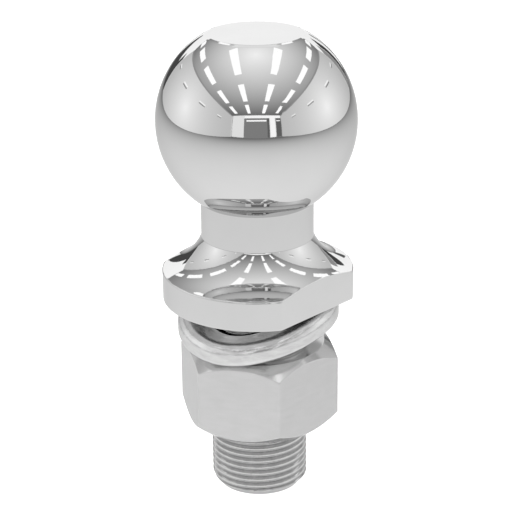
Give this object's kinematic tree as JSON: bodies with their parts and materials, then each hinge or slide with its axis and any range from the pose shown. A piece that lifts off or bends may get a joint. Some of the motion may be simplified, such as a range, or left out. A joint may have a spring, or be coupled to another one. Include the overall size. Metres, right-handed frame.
{
  "type": "trailer hitch ball",
  "caption": "Chromed towing ball on a short neck and flange, with a threaded shank that carries a split spring washer and a hex nut.",
  "frame": {"origin": "on the shank axis, in the plane of the flange's underside, which seats on a ball mount", "axes": "+Z along the shank axis towards the ball; -Y is the front; the two wrench flats are 47 degrees round from the front and back"},
  "size_m": [0.0508, 0.0508, 0.1224],
  "materials": {
    "chrome": "bright plated, mirror smooth on the ball, neck and flange",
    "zinc_washer": "bright zinc plate over a drawn bar, satin",
    "zinc_nut": "bright zinc plate, satin"
  },
  "bodies": {
    "ball_stud": {"ball_stud": "chrome"},
    "lock_washer": {"lock_washer": "zinc_washer"},
    "hex_nut": {"hex_nut": "zinc_nut"}
  },
  "joints": [
    {"name": "washer_slide", "type": "slide", "parent": "ball_stud", "child": "lock_washer", "axis": [0, 0, -1], "range_m": [0, 0.0418]},
    {"name": "nut_turn", "type": "hinge", "parent": "lock_washer", "child": "hex_nut", "pos_m": [0, 0, -0.0236], "axis": [0, 0, -1], "range_deg": [0, 8274.3]}
  ],
  "couplings": [
    {"joint": "washer_slide", "follows": "nut_turn", "m_per_rad": 0.00028875}
  ]
}
